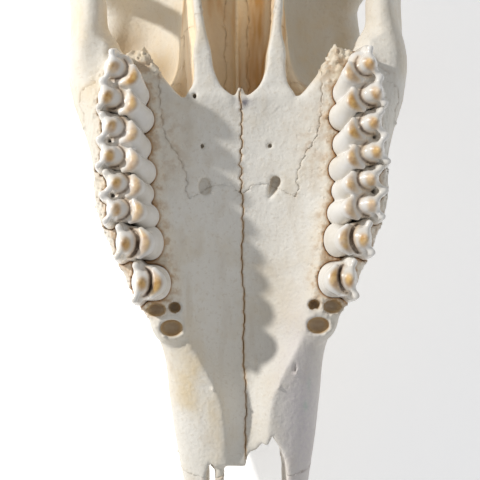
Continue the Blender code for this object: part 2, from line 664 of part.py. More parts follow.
def main():
    for thing in list(bpy.data.objects):
        bpy.data.objects.remove(thing)
    for name in ("bushbuck_skull", "cutters"):
        bpy.context.scene.collection.children.link(bpy.data.collections.new(name))

    whole = boolean(whole_skull(), floor_box(), "DIFFERENCE")
    nasals = boolean(whole, nasal_trough("nasal_inner", -SUTURE_GAP / 2), "INTERSECT")
    rest = boolean(whole, nasal_trough("nasal_outer", SUTURE_GAP / 2), "DIFFERENCE")
    median, cutters = suture_cutters()
    nasals = boolean(nasals, median, "DIFFERENCE")
    for cutter in cutters:
        rest = boolean(rest, cutter, "DIFFERENCE")

    bones = {}
    for source, nasal in ((rest, False), (nasals, True)):
        for volume, middle, points, tris in pieces(source):
            name = bone_name(middle, nasal)
            if volume > bones.get(name, (0.0,))[0]:
                bones[name] = (volume, points, tris)

    frame = bpy.data.objects.new("head_frame", None)
    bpy.data.collections["bushbuck_skull"].objects.link(frame)
    frame.rotation_euler.x = math.radians(REST_TILT)
    frame.location = (0.0, -REST_SHIFT * MM, REST_LEVEL * MM)
    for name in sorted(bones):
        place(name, bones[name][1], bones[name][2], frame)
    for thing in list(bpy.data.collections["cutters"].objects):
        if thing.name.startswith("whole"):
            bpy.data.objects.remove(thing)
    bpy.context.view_layer.update()


main()
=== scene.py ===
"""Looks of the bushbuck skull: fine separate bones and teeth, dry bone and enamel, floor, light and camera.

The bones come from one distance field in the head frame, which is in millimetres: X to the animal's
right, Y from the tip of the snout back to the nape, Z out of the palate. Each bone is cut out of it
along its real sutures, with a thin gap between the bones.
"""
import math

import bpy
import numpy as np
from mathutils import Matrix, Vector


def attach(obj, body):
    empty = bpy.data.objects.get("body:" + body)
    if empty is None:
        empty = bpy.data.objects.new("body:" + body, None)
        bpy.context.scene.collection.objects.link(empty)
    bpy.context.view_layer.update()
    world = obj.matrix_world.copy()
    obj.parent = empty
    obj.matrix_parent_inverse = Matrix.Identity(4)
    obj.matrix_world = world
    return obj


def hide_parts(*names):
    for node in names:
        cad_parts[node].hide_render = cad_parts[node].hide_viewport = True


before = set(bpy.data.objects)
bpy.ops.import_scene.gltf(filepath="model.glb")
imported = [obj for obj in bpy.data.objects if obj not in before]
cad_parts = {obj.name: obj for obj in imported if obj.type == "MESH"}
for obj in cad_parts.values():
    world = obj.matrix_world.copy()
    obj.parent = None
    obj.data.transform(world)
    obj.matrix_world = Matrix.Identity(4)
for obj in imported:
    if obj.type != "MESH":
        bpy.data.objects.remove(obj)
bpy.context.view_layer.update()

MM = 0.001
CELL = 0.5         # grid step of the bones
TOOTH_CELL = 0.25  # grid step of the teeth
LOW, HIGH = np.array([[-52.0, -6.0, -84.0], [52.0, 224.0, 8.0]])    # corners of the grid of the bones
FAR = 5.0                                 # value of a field well away from its surface
POINTS_AT_ONCE = 60000

# Sizes shared with the CAD model.
NASAL_TIP_Y = 31.0
CHOANA_Y = 119.8
TUBER_Y = 132.3
TILT, REST_LEVEL, REST_SHIFT = math.radians(16.7), 30.5, 110.9


# The snout and cheeks, one row for each station along Y:
# Y, half width, Z of the widest level, ventral Z, dorsal Z, ventral power, dorsal power.
SNOUT = np.array([
    (0, 5, -6.5, -4.6, -9.5, 2, 2),
    (2, 8.6, -6.8, -3.8, -13.5, 2, 2),
    (5, 11, -7.3, -3.3, -20, 2, 2),
    (9, 13.2, -8, -3.2, -26, 2, 2),
    (16, 14.8, -9, -3.2, -34, 2, 2),
    (25, 16.4, -10, -3, -39.5, 2.2, 2),
    (33, 17.8, -10.5, -2.6, -42, 2.3, 2),
    (43, 19.1, -10.5, -1.8, -44.5, 2.5, 1.9),
    (57, 21.2, -9.5, -0.8, -48.5, 3.2, 1.8),
    (64, 24.4, -8.5, -0.2, -50.5, 3.6, 1.75),
    (72, 28.8, -8.5, 0, -52.5, 4, 1.7),
    (82, 33.6, -8.5, 0, -55, 4.3, 1.65),
    (91, 36.8, -9, 0, -57, 4.5, 1.65),
    (100, 37.6, -10, 0, -58.8, 4.5, 1.7),
    (110, 37, -12, 0, -61, 4.5, 1.8),
    (122, 36.6, -15, -0.4, -63, 4, 2),
    (134, 33, -18, -1.5, -61, 4, 2),
])


def smooth_min(a, b, reach):
    """Union of two fields with a fillet about reach / 2 wide."""
    overlap = np.maximum(reach - np.abs(a - b), 0) / reach
    return np.minimum(a, b) - overlap * overlap * reach * 0.25


def shared(*fields):
    """The part that lies in all the fields."""
    return np.maximum.reduce(fields)


def joined(bone, *pieces):
    """Union of a field with others, each given with the reach of its fillet."""
    for piece, reach in pieces:
        bone = smooth_min(bone, piece, reach)
    return bone


def carved(bone, *cutters):
    """A field with others cut out of it, each given with the reach of its fillet."""
    for cutter, reach in cutters:
        bone = -smooth_min(-bone, cutter, reach)
    return bone


def smooth_step(t, a, b):
    """From 0 at a to 1 at b, with an even start and end."""
    u = np.clip((t - a) / (b - a), 0, 1)
    return u * u * (3 - 2 * u)


def mirrored(points):
    """Points with those of the left side laid over the right side."""
    q = points.copy()
    q[:, 0] = np.abs(q[:, 0])
    return q


def curve_through(t, places, values):
    """Smooth curve through the given values, with no overshoot worth the name."""
    places, values = np.asarray(places, float), np.asarray(values, float)
    slopes = np.gradient(values, places)
    i = np.clip(np.searchsorted(places, t) - 1, 0, len(places) - 2)
    step = places[i + 1] - places[i]
    u = np.clip((t - places[i]) / step, 0, 1)
    a, b = values[i], values[i + 1]
    return (
        a * (1 + 2 * u) * (1 - u) ** 2
        + slopes[i] * step * u * (1 - u) ** 2
        + b * u * u * (3 - 2 * u)
        - slopes[i + 1] * step * u * u * (1 - u)
    )


def columns_at(y, table):
    """Smooth curves through the columns of a table whose first column is Y."""
    return [curve_through(y, table[:, 0], column) for column in table.T[1:]]


def ellipsoid(p, centre, radii, turn=(0, 0, 0)):
    """Field of an ellipsoid, turned by degrees about X, Y and Z."""
    q = p - centre
    if any(turn):
        euler = Matrix.Rotation(math.radians(turn[2]), 3, "Z")
        euler = euler @ Matrix.Rotation(math.radians(turn[1]), 3, "Y")
        euler = euler @ Matrix.Rotation(math.radians(turn[0]), 3, "X")
        q = q @ np.array(euler)
    q = q / radii
    near = np.sqrt((q * q).sum(1)) + 1e-6
    slope = np.sqrt(((q / radii) ** 2).sum(1)) + 1e-6
    return near * (near - 1) / slope


def only(p, near, shape):
    """A field that is worked out only near its shape, and far off it is just far."""
    field = np.full(len(p), 50.0)
    if near.any():
        field[near] = shape(p[near])
    return field


def bent(points, radii, steps):
    """A chain of rods made finer, along a smooth curve through its points."""
    points = np.array(points, float)
    length = np.concatenate([[0], np.cumsum(np.linalg.norm(np.diff(points, axis=0), axis=1))])
    at = np.linspace(0, length[-1], steps)
    finer = np.stack([curve_through(at, length, row) for row in points.T], 1)
    return finer, curve_through(at, length, radii)


def strut(p, points, radii, stretch=(1, 1, 1)):
    """Field of a chain of tapering rods, with its round section stretched along the axes."""
    stretch = np.array(stretch)
    q, chain = p / stretch, np.array(points) / stretch
    found = np.full(len(p), 1e9)
    for a, b, start, end in zip(chain, chain[1:], radii, radii[1:]):
        along = b - a
        t = np.clip((q - a) @ along / (along @ along), 0, 1)
        off = q - a - t[:, None] * along
        found = np.minimum(found, np.sqrt((off * off).sum(1)) - start - t * (end - start))
    return found * stretch.min()


def prism(p, outline, low, high):
    """Field of an upright prism over a plan outline, between two heights."""
    x, y = p[:, 0], p[:, 1]
    corners = np.array(outline)
    near = np.full(len(p), 1e9)
    inside = np.zeros(len(p), bool)
    for (ax, ay), (bx, by) in zip(corners, np.roll(corners, -1, axis=0)):
        ex, ey = bx - ax, by - ay
        t = np.clip(((x - ax) * ex + (y - ay) * ey) / (ex * ex + ey * ey), 0, 1)
        near = np.minimum(near, (x - ax - t * ex) ** 2 + (y - ay - t * ey) ** 2)
        crosses = (ay > y) != (by > y)
        inside ^= crosses & (x < (bx - ax) * (y - ay) / (by - ay + 1e-12) + ax)
    side = np.sqrt(near) * np.where(inside, -1, 1)
    return np.maximum(side, np.maximum(low - p[:, 2], p[:, 2] - high))


def snout(p):
    x, y, z = p.T
    width, widest, ventral, dorsal, power_v, power_d = columns_at(y, SNOUT)
    below = z > widest
    height = np.where(below, ventral - widest, widest - dorsal)
    power = np.where(below, power_v, power_d)
    ring = (x / width) ** power + (np.abs(z - widest) / height) ** power
    side = (ring ** (1 / power) - 1) * np.minimum(width, height)
    return np.maximum(side, np.maximum(SNOUT[0, 0] - y, y - SNOUT[-1, 0]))


# Palate: Y, half width between the tooth rows or the ridges in front of them, depth of the vault.
PALATE = np.array([
    (10, 7.5, 3), (20, 8.5, 4.5), (27, 7.6, 5.5), (35, 6.6, 6.5), (43, 7.3, 8),
    (50, 10.5, 9), (57, 14.5, 9.5), (64, 16.2, 9.4), (74, 18.4, 8.6), (84, 20, 7.2),
    (97, 21.2, 5.4), (110, 21.8, 4), (121, 22.2, 3),
])
# Side plates of the choana: Y, inner X, outer X, Z of the free edge.
PLATES = np.array([
    (112, 2, 13.6, -6), (117, 3, 14, -3.6), (120, 3.2, 13.3, -3), (122.5, 5, 12.1, -3),
    (126, 6.5, 11.6, -3.3), (131.5, 7.3, 11.7, -4), (136, 8.3, 10.9, -5),
    (143, 9.3, 11.4, -7), (150, 9.8, 12, -10), (158, 10, 12.6, -17),
    (166, 9.5, 13, -28),
])
# Free space behind the palate and beside the choana, open to the orbit: plan outline of one side.
FOSSA = [
    (13.4, 118), (16.3, 120.7), (20.3, 125.6), (22.3, 128.4), (23.6, TUBER_Y), (29, 131),
    (33.4, 132), (33, 136), (32.2, 138.6), (34.4, 142), (36.3, 146), (38.2, 155),
    (38.2, 164), (31, 168), (27, 160), (21, 153), (13, 147), (11, 138),
    (11.6, 128),
]
# Openings of the palate behind the front teeth, broken open on the right side.
FISSURE_RIGHT = [
    (-0.2, 25.8), (0.1, 27.9), (0.9, 29.4), (2.4, 29.9), (4, 31.7), (5.3, 31), (6.5, 33.5),
    (8.6, 30.2), (9.9, 26.6), (10.4, 21.5), (9.8, 14), (7.6, 9), (4, 7), (-0.2, 7),
]
FISSURE_LEFT = [
    (0, 25.8), (-6.1, 26.3), (-8, 26), (-9.3, 27), (-10.3, 24.5), (-10.4, 21.5),
    (-9.8, 14), (-7.6, 9), (-4, 7), (0, 7),
]
SOCKETS = [  # empty sockets of the second premolar on one side: X, Y, radius along X and along Y
    (18.4, 61.3, 2.9, 2.2), (17.6, 66.4, 1.7, 1.5), (22, 66, 2.6, 1.8),
]


def nasal_cavity(p):
    middle = [(0, -8, -14), (0, 10, -18), (0, 25, -22.5), (0, 40, -26), (0, 58, -28), (0, 76, -28)]
    return strut(p, middle, [7.5, 9.6, 11.6, 12.4, 12, 6], (1, 1, 1.12))


def nasal_opening(p):
    """Everything above the rim of the nose opening, but for the nasal bones that overhang it."""
    x, y, z = p.T
    rim = curve_through(y, [-6, 4, 12, 20, 28, 36, 44, 52], [-8, -10.5, -15, -20, -25.5, -31, -38, -48])
    half = curve_through(y, [26, 34, 46, 60], [4.5, 7, 8.2, 9])
    tip = NASAL_TIP_Y - 5 + 1.3 * np.abs(x - 3) - y
    nasals = np.maximum(x - half, tip)
    return np.maximum(np.maximum(z - rim, y - 50), -nasals)


def face(p):
    """Snout, cheeks and forehead with the orbits and the spaces behind the palate cut out."""
    back = p[:, 1] > 100
    orbit = ellipsoid(p, (38, 141, -43.5), (20.5, 19, 19))
    forehead = ellipsoid(p, (0, 144, -57.5), (36, 22, 12))
    dome = smooth_min(ellipsoid(p, (0, 152, -49), (36, 38, 24.5)), forehead, 6)
    brain = ellipsoid(p, (0, 176.5, -43.8), (29.7, 34.5, 27))
    temple = ellipsoid(p, (43, 176, -52), (13.5, 16, 34))
    fossa = only(p, back, lambda q: prism(q, FOSSA, -38, 30))
    fossa_end = ellipsoid(p, (26, 147.5, -37.5), (15, 25, 22))
    cheek_hollow = ellipsoid(p, (43.5, 106, -40), (9.5, 16, 10))
    core = ellipsoid(p, (0, 139, -43), (14, 30, 22))
    choana = [(-1, CHOANA_Y), (2.5, CHOANA_Y - 0.2), (14, CHOANA_Y), (14, 175), (-1, 175)]
    bone = carved(snout(p), (nasal_cavity(p), 1), (nasal_opening(p), 1))
    bone = joined(bone, (dome, 14), (brain, 12))
    bone = carved(bone, (temple, 5), (orbit, 2.5), (fossa, 3), (fossa_end, 3), (cheek_hollow, 6))
    bone = joined(bone, (core, 6))
    return carved(bone, (only(p, back, lambda q: prism(q, choana, -28, 30)), 2))


def palate(p, bone):
    """Vaults the palate and cuts the nasal passage above it."""
    x, y, z = p.T
    margin, depth = columns_at(y, PALATE)
    top = -depth * np.clip(1 - (x / margin) ** 2, 0, 1) ** 0.9
    vault = np.where(y < 124, z - top, -5)
    passage = strut(p, [(0, 98, -15), (0, 112, -15.5), (0, 160, -15)], [5, 7, 8], (1, 1, 1.4))
    return carved(bone, (-vault, 1.5), (passage, 1.5))


def plates(p):
    x, y, z = p.T
    inner, outer, edge = columns_at(y, PLATES)
    sheet = np.maximum(inner - x, x - outer)
    ends = np.maximum(PLATES[0, 0] - y, y - PLATES[-1, 0])
    return carved(np.maximum(sheet, ends), (np.minimum(edge - z, z + 33), 1))


def cheek(p):
    """Zygomatic arch, rim of the orbit and the bar behind it."""
    arch = bent(
        [(30.5, 104, -12), (33.8, 110, -13.5), (36, 114.3, -15), (38.5, 119.4, -16.2), (39.5, 124, -17),
         (39.8, 131, -18), (38, 143, -19.5), (39.2, 155, -21), (39.8, 166, -22.5), (37.5, 175, -25),
         (31, 182, -28)],
        [4.2, 4.2, 4.2, 4.2, 4.2, 4.2, 4, 3.5, 3.2, 3.4, 4.5], 24,
    )
    rim = bent(
        [(34, 120.8, -40), (33.6, 124, -52), (34.4, 132, -60), (34.6, 142, -62), (33.2, 151, -61),
         (39, 158, -54), (42.6, 160.5, -42), (42.4, 157, -30), (40.6, 148, -25), (40.4, 138, -24),
         (38.8, 128.5, -26.5), (36, 122.6, -32.5), (34, 120.8, -40), (33.6, 124, -52)],
        [2.2, 2.2, 2.5, 2.6, 2.6, 3, 3, 3.2, 3.2, 3, 2.8, 2.4, 2.2, 2.2], 34,
    )
    floor = ellipsoid(p, (36.5, 129.5, -19.5), (6.5, 9, 6.5))
    return joined(strut(p, *arch, (1, 1, 1.6)), (strut(p, *rim), 5), (floor, 4))


def skull_base(p):
    """Bar under the braincase, ear region, jaw sockets and the hinge on the neck."""
    bar = [(0, 135, -36), (0, 152, -27), (0, 170, -20), (0, 190, -17), (0, 202, -19)]
    bar = strut(p, bar, [6.5, 6, 6.5, 8, 9], (1.15, 1, 1))
    nape = ellipsoid(p, (0, 202, -39), (26, 9.5, 22), (-8, 0, 0))
    jaw_socket = ellipsoid(p, (32, 177.5, -26), (11, 8.5, 5.5))
    bulla = ellipsoid(p, (19.5, 184, -16.5), (7.2, 12.5, 10), (0, 0, 12))
    ear = strut(p, [(22, 187, -24), (33, 190, -30)], [5.5, 4.2])
    process = [(24, 197, -34), (25.5, 201, -24), (25.3, 203.5, -14), (23.6, 205, -6)]
    process = strut(p, *bent(process, [6, 4.2, 2.8, 1.7], 8))
    condyle = [(5, 208.5, -15), (9.5, 211, -21), (12.5, 210, -28), (12.5, 205.5, -34)]
    condyle = strut(p, *bent(condyle, [4, 5.4, 5.2, 3.6], 8))
    return joined(bar, (nape, 6), (jaw_socket, 4), (bulla, 2), (ear, 3), (process, 4), (condyle, 2.5))


def crests(p):
    """Ridge of the nape."""
    nape = bent(
        [(-4, 208, -59.5), (4, 208, -59.5), (15, 206.5, -56.5), (24, 202.5, -49), (29, 197, -40),
         (33, 184, -31)],
        [3, 3, 2.6, 2.4, 2.6, 2.6], 18,
    )
    return smooth_min(strut(p, *nape), ellipsoid(p, (0, 209, -55), (4, 4, 5)), 3)


# Teeth from front to back, each with its lobes: outer cusp X, Y; foot of the inner wall X, Y; half length.
TEETH = {
    "premolar_3": [((25.2, 72.9), (18.2, 72), 4.6)],
    "premolar_4": [((29, 82.7), (19.8, 82), 4.7)],
    "molar_1": [((31.2, 91.1), (20.8, 88.6), 3.6), ((31, 97.5), (22, 94.2), 3.5)],
    "molar_2": [((32.6, 104.3), (21.4, 99.6), 3.7), ((32, 111.5), (22.5, 105.8), 3.7)],
    "molar_3": [((32.8, 118.8), (21.7, 112.8), 3.8), ((31.2, 126), (22.8, 118.8), 3.7)],
}
# Upright folds on the outer side of each tooth, at the ends of its lobes: X, Y.
STYLES = {
    "premolar_3": [(27.8, 68.6), (27.4, 77)],
    "premolar_4": [(31.9, 79.2), (31.4, 86.4)],
    "molar_1": [(34.6, 88), (35.3, 94.4), (34.4, 100)],
    "molar_2": [(36.2, 101.6), (35.8, 108), (35, 114.2)],
    "molar_3": [(35.8, 116), (34.8, 122.4), (32.4, 129.6)],
}
CROWN = 10             # height of the outer cusps
LEAN = 0.75            # how far the point of an outer cusp leans outwards
HALF_LOBE = 3.6        # half length of a lobe of usual size
PREMOLAR_HALF = 4      # a lobe with a greater half length is a premolar's
ROOT = 6.5             # how deep a tooth sits in the bone
PIT_WIDTHS = (0.1, 0.18, 0.25, 0.3, 0.32, 0.3, 0.25, 0.18, 0.1)


def cusp_places(buccal, lingual):
    """Middle of the inner crest, unit vectors from the outer cusp to it and across, and the distance."""
    b, l = np.array(buccal), np.array(lingual)
    crest = b + (l - b) * np.array([0.52, 0.44])
    far = np.linalg.norm(crest - b)
    way = (crest - b) / far
    return crest, way, np.array([-way[1], way[0]]), far


def crescent(buccal, lingual, half):
    """Plan points of the dark pit that curves round the inner side of an outer cusp."""
    _, way, side, far = cusp_places(buccal, lingual)
    centre = np.array(buccal) - way * 0.3
    turns = np.linspace(-1.25, 1.25, len(PIT_WIDTHS))
    return [centre + (0.6 * far + 0.3) * np.cos(a) * way + 0.8 * half * np.sin(a) * side for a in turns]


def pit_widths(half):
    """Radii along the pit, wider in the single lobe of a premolar."""
    return np.array(PIT_WIDTHS) * (1.9 if half > PREMOLAR_HALF else 1)


def lobe(p, buccal, lingual, half, folds):
    """One lobe of a cheek tooth: outer cusp with two ridges, leaning inner wall, and the pit between."""
    (bx, by), (lx, ly) = buccal, lingual
    (cx, cy), way, side, far = cusp_places(buccal, lingual)
    wide = half / HALF_LOBE
    long = (1, wide, 1)
    cusp = [(bx - 0.1, by, -6), (bx - 0.3, by, 4), (bx - 0.1, by, CROWN - 2.8), (bx + LEAN, by, CROWN - 0.4)]
    outer = strut(p, cusp, [3.3, 3.1, 2, 0.55], long)
    for sx, sy in folds:
        elbow = (0.4 * bx + 0.6 * sx - 0.3, 0.4 * by + 0.6 * sy, CROWN - 2.4)
        ridge = [(bx + LEAN, by, CROWN - 1), elbow, (sx - 0.6, sy, CROWN - 2.6)]
        outer = smooth_min(outer, strut(p, ridge, [0.7, 0.75, 0.6]), 1.1)
    wall = [(lx + 4.3, ly + 0.8, -6), (lx + 3.4, ly + 0.6, 2), (cx - 0.2, cy, CROWN - 3.6)]
    inner = strut(p, wall, [3.5, 3.3, 2.2], long)
    crest_points = [
        (*(np.array([cx, cy]) + side * s * 2.5 * wide - way * s * s * 0.3 * far), CROWN - down)
        for s, down in ((-1, 3), (-0.5, 2.5), (0, 2.2), (0.5, 2.5), (1, 3))
    ]
    crest = strut(p, crest_points, [0.7, 0.9, 1.05, 0.9, 0.7])
    mx, my = 0.5 * (bx + cx), 0.5 * (by + cy)
    core = strut(p, [(mx, my, -2), (mx, my, CROWN - 5)], [3.2, 2.7], long)
    tooth = smooth_min(smooth_min(outer, core, 1.6), smooth_min(inner, crest, 1.6), 1.2)
    arc = crescent(buccal, lingual, half)
    pit = strut(p, [(x, y, CROWN - 4.4) for x, y in arc], pit_widths(half), (1, 1, 4.5))
    return carved(tooth, (pit, 0.5))


def tooth_field(p, name):
    """Field of one tooth with its root, on the right side."""
    folds = STYLES[name]
    valley = CROWN - 6.2
    whole, middles = None, []
    for i, part in enumerate(TEETH[name]):
        one = lobe(p, *part, folds[i:i + 2])
        whole = one if whole is None else smooth_min(whole, one, 0.8)
        (bx, by), crest = part[0], cusp_places(*part[:2])[0]
        middles.append((0.5 * (bx + crest[0]), 0.5 * (by + crest[1]), valley))
    first, last = folds[0][1] + 2.6, folds[-1][1] - 2.6
    middles = [(middles[0][0], first, valley)] + middles + [(middles[-1][0], last, valley)]
    whole = smooth_min(whole, strut(p, middles, [2.3] * len(middles)), 1.2)
    for x, y in folds:
        fold = strut(p, [(x - 1.5, y, -6), (x - 1, y, 4), (x - 0.5, y, CROWN - 2.4)], [1.9, 1.4, 0.6])
        whole = smooth_min(whole, fold, 1)
    return np.maximum(whole, -ROOT - p[:, 2])


def all_teeth(p):
    """Field of the five teeth of the right side."""
    return np.minimum.reduce([tooth_field(p, name) for name in TEETH])


def wave(t, seed, lengths, heights):
    """A fixed uneven wave, made of a few sines."""
    total = np.zeros_like(t)
    for i, (length, height) in enumerate(zip(lengths, heights)):
        total = total + height * np.sin(2 * math.pi * t / length + seed * (1.7 + i * 2.3))
    return total


# Free edge of the thin ridge in the choana: Y, Z.
VOMER_EDGE = np.array([
    (118, -25.5), (127, -25), (133, -24.6), (139, -22.8), (145, -21.2), (151, -19.6), (157, -17.6),
    (163, -15.6), (169, -13.4), (175, -11.5),
])
# Small holes: middle, half sizes.
HOLES = [
    ((-9.4, 96.8, -4.6), (1.6, 2.3, 2)),        # palatine opening of the left side, nearly closed
    ((-9.9, 107, -4), (0.5, 0.6, 2)),
    ((7.3, 106.9, -4.2), (0.6, 0.6, 2)),
    ((-11.6, 119.6, -3.4), (0.5, 0.7, 2.5)),
    ((12.4, 50.4, -1.6), (0.35, 1.4, 1.6)),     # slit on the right side of the snout
    *[((x, 60.5, -19), (3, 2.6, 2)) for x in (21.5, -21.5)],    # openings for the nerve of the lip
]


def vomer(p):
    """Thin upright ridge on the middle of the floor of the skull, seen through the choana."""
    x, y, z = p.T
    top = np.interp(y, *VOMER_EDGE.T)
    side = x - 0.45 - 0.12 * np.maximum(top - z, 0)
    return shared(side, z - top, -36 - z)


def bare_skull(points):
    """Field of the bones in one, without the teeth, with the small openings that the photo shows."""
    p = mirrored(points)
    x, y, z = p.T
    socket_wall = ellipsoid(p, (18.8, 63.5, -2.6), (4.6, 6.2, 3))
    spine = strut(p, [(0, 117, -4.6), (0, 120.9, -5)], [1.6, 0.9])
    ridge = only(p, (y > 117) & (y < 175) & (x < 6) & (z < -10), vomer)
    bone = joined(
        palate(p, face(p)),
        (only(p, (y > 100) & (y < 178) & (z > -48), plates), 2.5),
        (socket_wall, 2),
        (only(p, (x > 16) & (y > 88), cheek), 4),
        (only(p, y > 116, skull_base), 5),
        (only(p, y > 168, crests), 4),
        (spine, 1.2),
        (ridge, 1.4),
    )
    canal = strut(p, [(0, 222, -33), (0, 198, -32), (0, 190, -34)], [9, 8.5, 4])
    meatus = strut(p, [(40, 191, -32), (27, 188.5, -27)], [3, 2.2])
    sockets = [(ellipsoid(p, (x, y, -0.6), (across, along, 4.6)), 0.6) for x, y, across, along in SOCKETS]
    fissures = [
        (only(points, y < 45, lambda q: prism(q, outline, -14, 5)), 0.8)
        for outline in (FISSURE_RIGHT, FISSURE_LEFT)
    ]
    bone = carved(bone, (canal, 1.5), (meatus, 1), *sockets, *fissures)
    prong = [(-6.9, 29, -6), (-6.9, 22, -6.2), (-4.5, 12, -6.5), (-3, 6, -6.5)]
    prong = strut(points, prong, [1.2, 1.1, 1.2, 1.5])
    groove = [(8.6, 97.9, -5.6), (8.1, 96.4, -5.4), (6.9, 93.6, -4.9)]
    groove = strut(points, groove, [1.35, 1.15, 0.4], (1, 1, 1.9))
    holes = [(ellipsoid(points, centre, radii), 0.5) for centre, radii in HOLES]
    return carved(joined(bone, (prong, 1.5)), *holes, (groove, 0.6))


SEAM_GAP = -0.12       # half the gap at a suture, below zero because the meshes end a little short of it


def front_cut(p):
    """Premaxilla in front of the maxilla."""
    x, y, z = p.T
    return (y - 15.5) * 0.876 + (z - 10) * 0.483 + wave(z + 0.6 * np.abs(x), 1, (9, 3.7), (0.7, 0.3))


def nasal_cut(p):
    """Nasal bones, laid into the roof of the snout."""
    x, y, z = mirrored(p).T
    half = np.interp(y, [18, 34, 48, 66, 84, 100, 110, 116], [7.5, 8.4, 8.8, 9.2, 9.4, 9, 7, 3])
    depth = np.interp(y, [18, 34, 48, 66, 116], [9, 9, 5, 3.2, 3.2])
    roof = curve_through(y, SNOUT[:, 0], SNOUT[:, 4])
    side = x - half - wave(y, 2, (11, 4.3), (0.35, 0.2))
    return shared(side, z - roof - depth, y - 116, 18 - y)


# Outline of the palatine bones on the palate, on one side.
PALATINE = [
    (-2, 94.8), (0.8, 95.2), (2.4, 97), (7, 97.2), (9.2, 96), (13.8, 93.7), (14.4, 96.6),
    (13.8, 97.6), (14.4, 100.7), (16.3, 104.9), (18.5, 107.9), (19.7, 111), (20.4, 117.5), (20.6, 127),
    (15.4, 127), (15.4, 141), (9.6, 141), (9.6, 152), (-2, 152),
]


def palatine_cut(p):
    """Back of the palate with the side plates behind it."""
    q = mirrored(p)
    q[:, 0] += wave(p[:, 1], 3, (2.6, 1.3), (0.22, 0.12))
    low = np.interp(q[:, 1], [90, 117, 123, 145], [-13, -13, -36, -36])
    plan = only(q, q[:, 1] > 85, lambda r: prism(r, PALATINE, -60, 60))
    return np.maximum(plan, low - q[:, 2])


def vomer_cut(p):
    """Thin bone along the middle of the choana."""
    x, y, z = mirrored(p).T
    side = x - 3 - wave(y, 20, (9, 4.1), (0.3, 0.15))
    return shared(side, z + 12.5, 119 - y, y - 152)


def pterygoid_cut(p):
    """Back ends of the side plates of the choana."""
    x, y, z = mirrored(p).T
    return shared(x - 15, 8 - x, 139 - y, y - 172, -30 - z)


def occipital_cut(p):
    """Nape with the condyles, and the back of the bar under the braincase."""
    x, y, z = mirrored(p).T
    back = 199.5 - y + wave(x + 0.4 * z, 5, (6, 2.7), (0.6, 0.35))
    base = shared(182 + wave(x, 6, (5,), (0.3,)) - y, x - 8.8, -30 - z)
    return np.minimum(back, base)


def sphenoid_cut(p):
    """Front of the bar under the braincase, with the walls behind the orbits."""
    x, y, z = mirrored(p).T
    half = np.interp(y, [118, 132, 138, 158, 172, 190], [12, 14, 24, 24, 9.6, 9.4])
    top = -45 - z + wave(y, 7, (9, 4), (0.8, 0.4))
    return shared(x - half, top, 140 - y)


def squamosal_cut(p):
    """Side of the braincase with the jaw socket and the back of the arch."""
    x, y, z = mirrored(p).T
    slant = 0.9 * (z + 22) * (z > -30) - 6.5 * (z <= -30)
    front = 161 + slant + wave(z, 8, (7, 3.1), (0.5, 0.3)) - y
    top = -50 + 3 * ((y - 184) / 16) ** 2 - z + wave(y, 9, (6, 2.6), (0.5, 0.3))
    return shared(11 - x, front, top)


def zygomatic_cut(p):
    """Cheekbone under the orbit, with the front of the arch."""
    x, y, z = mirrored(p).T
    front = 109 + 0.35 * (z + 20) + wave(z, 10, (8, 3.3), (0.7, 0.35)) - y
    low = z + 9.5 + wave(y, 11, (9, 3.9), (0.5, 0.25))
    top = -45.2 - z + wave(x, 12, (3,), (0.4,))
    return shared(front, low, 29 - x, top)


def lacrimal_cut(p):
    """Small bone in front of the orbit."""
    x, y, z = mirrored(p).T
    front = 110 + wave(z, 13, (7, 3), (0.6, 0.3)) - y
    top = -54 - z + wave(y, 14, (6, 2.5), (0.5, 0.25))
    low = z + 31.5 + wave(y, 15, (5,), (0.4,))
    return shared(15 - x, front, y - 127, top, low)


def parietal_cut(p):
    """Roof of the braincase, behind a zigzag suture."""
    x, y, z = p.T
    return 167 + wave(x, 16, (4.6, 2.1), (1, 0.5)) - y + 0.02 * z


def face_cut(p):
    """Maxilla in front of the frontal bone."""
    x, y, z = mirrored(p).T
    edge = np.interp(z, [-90, -58, -51, -42, 0, 10], [112, 112, 119, 130, 138, 140])
    return (y - edge + wave(x + z, 17, (6, 2.7), (0.6, 0.3))) * 0.85


def median_cut(p):
    """Left side of the middle suture."""
    x, y = p.T[:2]
    busy = 0.35 + 0.65 * np.exp(-((y - 101) / 9) ** 2)
    return x + wave(y, 18, (23, 7.5), (0.22, 0.1)) + busy * wave(y, 19, (3.4, 1.7), (0.3, 0.16))


# Bones in the order in which they are cut out: name, region, whether it is a pair, CAD node.
BONES = [
    ("premaxilla", front_cut, True, "premaxilla"),
    ("nasal", nasal_cut, True, "nasal"),
    ("vomer", vomer_cut, False, "frontal"),
    ("palatine", palatine_cut, True, "maxilla"),
    ("pterygoid", pterygoid_cut, True, "frontal"),
    ("occipital", occipital_cut, False, "braincase"),
    ("sphenoid", sphenoid_cut, False, "frontal"),
    ("squamosal", squamosal_cut, True, "braincase"),
    ("zygomatic", zygomatic_cut, True, "zygomatic"),
    ("lacrimal", lacrimal_cut, True, "maxilla"),
    ("parietal", parietal_cut, False, "braincase"),
    ("maxilla", face_cut, True, "maxilla"),
    ("frontal", None, True, "frontal"),
]


def sides(name, rows, inside, middle, paired):
    """The left and right bone of a region, or the single bone."""
    if not paired:
        return [(name, rows, inside)]
    return [
        (name + "_left", rows, np.maximum(inside, middle[rows])),
        (name + "_right", rows, np.maximum(inside, -middle[rows])),
    ]


